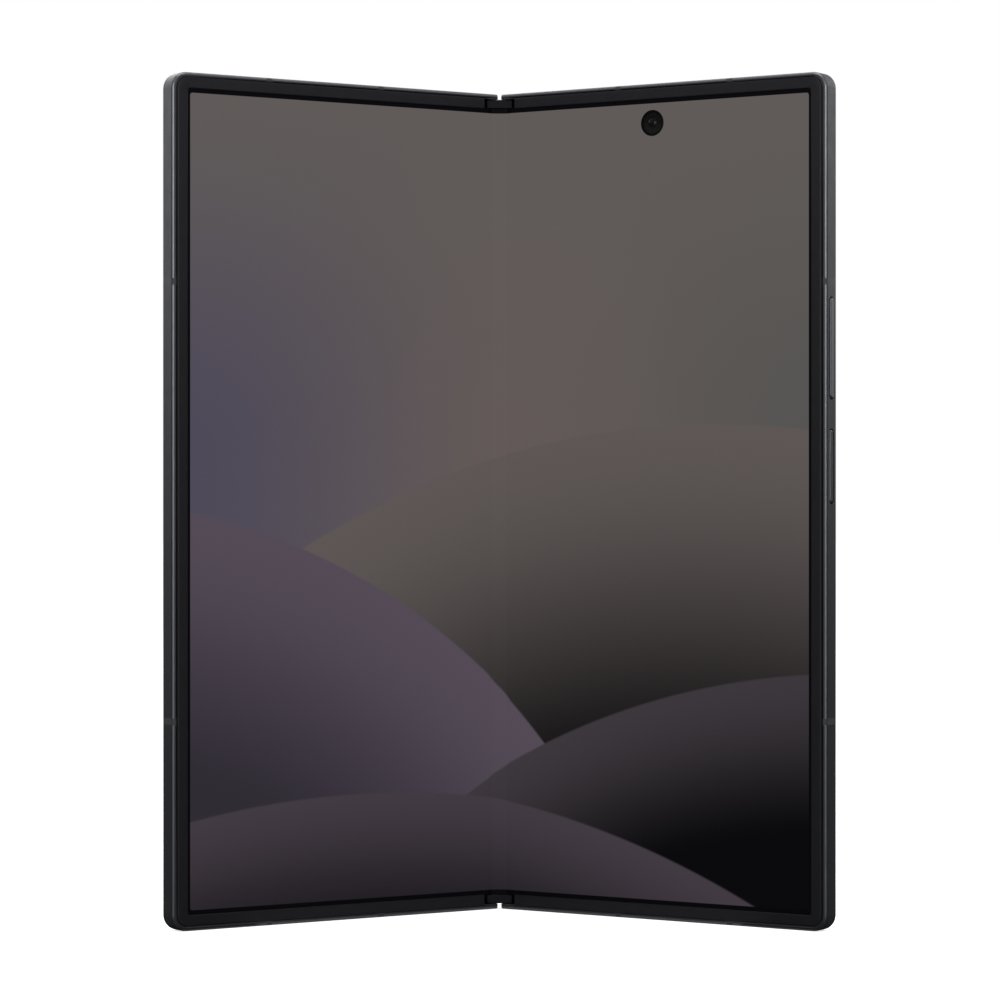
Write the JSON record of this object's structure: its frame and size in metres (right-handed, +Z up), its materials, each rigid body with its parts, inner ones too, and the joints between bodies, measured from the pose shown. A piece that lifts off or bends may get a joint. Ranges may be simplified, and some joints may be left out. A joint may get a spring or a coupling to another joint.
{
  "type": "folding smartphone",
  "caption": "Book-style folding phone standing half open: a wide flexible display across two slim halves joined by a geared hinge.",
  "frame": {"origin": "centre of the bounding box at the lower edges it stands on", "axes": "+Z up along the hinge, +Y from the inner display towards the back, +X towards the half with the keys"},
  "size_m": [0.1242, 0.0417, 0.1584],
  "materials": {
    "frame_metal": "fine blasted and anodised",
    "hinge_metal": "satin anodised",
    "steel": "plain machined",
    "gear_steel": "sintered",
    "antenna_plastic": "moulded into the frame",
    "bezel_plastic": "fine satin",
    "display": "clear film over a lit panel",
    "cover_glass": "polished black",
    "cover_panel": "switched off",
    "rear_glass": "satin etched",
    "lens_glass": "coated",
    "camera_body": "black",
    "flash_lens": "diffusing",
    "board": "solder mask",
    "cell": "wrapped pouch",
    "tin": "tinned",
    "black_plastic": "moulded",
    "magnet": "plated"
  },
  "bodies": {
    "hinge_spine": {"hinge_cover": "hinge_metal", "hinge_caps": "hinge_metal", "hinge_guides": "steel", "gear_housing": "steel", "friction_washers": "steel", "hinge_screws": "steel", "display_fold": "display"},
    "left_half": {"left_frame": "frame_metal", "left_antenna_breaks": "antenna_plastic", "left_bezel": "bezel_plastic", "left_display": "display", "left_display_plate": "steel", "left_arms": "steel", "left_geared_arm": "steel", "left_arm_screws": "steel", "cover_glass": "cover_glass", "cover_display": "cover_panel", "cover_camera": "camera_body", "left_battery": "cell", "left_board": "board", "earpiece": "black_plastic", "vibration_motor": "tin", "card_reader": "tin", "left_magnets": "magnet"},
    "right_half": {"right_frame": "frame_metal", "right_antenna_breaks": "antenna_plastic", "right_bezel": "bezel_plastic", "right_display": "display", "right_display_plate": "steel", "right_arms": "steel", "right_geared_arm": "steel", "right_arm_screws": "steel", "rear_glass": "rear_glass", "camera_island": "rear_glass", "lens_rings": "frame_metal", "lens_glasses": "lens_glass", "camera_modules": "camera_body", "flash_light": "flash_lens", "inner_camera": "camera_body", "main_board": "board", "shield_cans": "tin", "lower_board": "board", "right_battery": "cell", "port_shell": "tin", "port_tongue": "black_plastic", "loudspeaker": "black_plastic", "key_switches": "tin", "right_magnets": "magnet"},
    "left_pinion": {"left_pinion": "gear_steel"},
    "right_pinion": {"right_pinion": "gear_steel"},
    "left_sync_gear": {"left_sync_gear": "gear_steel"},
    "right_sync_gear": {"right_sync_gear": "gear_steel"},
    "volume_key": {"volume_key": "frame_metal"},
    "power_key": {"power_key": "frame_metal"},
    "card_tray": {"card_tray": "frame_metal"}
  },
  "joints": [
    {"name": "left_fold", "type": "hinge", "parent": "hinge_spine", "child": "left_half", "pos_m": [-0.00133, 0.01769, 0.0792], "axis": [0, 0, 1], "range_deg": [-32.5, 57.5], "deforming": ["display_fold"]},
    {"name": "right_fold", "type": "hinge", "parent": "hinge_spine", "child": "right_half", "pos_m": [0.00133, 0.01769, 0.0792], "axis": [0, 0, -1], "range_deg": [-32.5, 57.5], "deforming": ["display_fold"]},
    {"name": "left_pinion_turn", "type": "hinge", "parent": "hinge_spine", "child": "left_pinion", "pos_m": [-0.00199, 0.01847, 0.0792], "axis": [0, 0, 1], "range_deg": [-101.56, 179.69]},
    {"name": "right_pinion_turn", "type": "hinge", "parent": "hinge_spine", "child": "right_pinion", "pos_m": [0.00199, 0.01847, 0.0792], "axis": [0, 0, -1], "range_deg": [-101.56, 179.69]},
    {"name": "left_sync_turn", "type": "hinge", "parent": "hinge_spine", "child": "left_sync_gear", "pos_m": [-0.00078, 0.01883, 0.0792], "axis": [0, 0, 1], "range_deg": [-110.58, 62.5]},
    {"name": "right_sync_turn", "type": "hinge", "parent": "hinge_spine", "child": "right_sync_gear", "pos_m": [0.00078, 0.01883, 0.0792], "axis": [0, 0, -1], "range_deg": [-110.58, 62.5]},
    {"name": "volume_press", "type": "slide", "parent": "right_half", "child": "volume_key", "axis": [-0.8434, 0.5373, 0], "range_m": [0, 0.00025], "stiffness_N_per_m": 3000},
    {"name": "power_press", "type": "slide", "parent": "right_half", "child": "power_key", "axis": [-0.8434, 0.5373, 0], "range_m": [0, 0.00025], "stiffness_N_per_m": 3000},
    {"name": "tray_slide", "type": "slide", "parent": "left_half", "child": "card_tray", "axis": [0, 0, -1], "range_m": [0, 0.018]}
  ],
  "couplings": [
    {"joint": "right_fold", "follows": "left_fold", "ratio": 1},
    {"joint": "left_pinion_turn", "follows": "left_fold", "ratio": 3.125},
    {"joint": "right_pinion_turn", "follows": "left_fold", "ratio": 3.125},
    {"joint": "left_sync_turn", "follows": "left_fold", "ratio": -1.9231},
    {"joint": "right_sync_turn", "follows": "left_fold", "ratio": -1.9231}
  ]
}
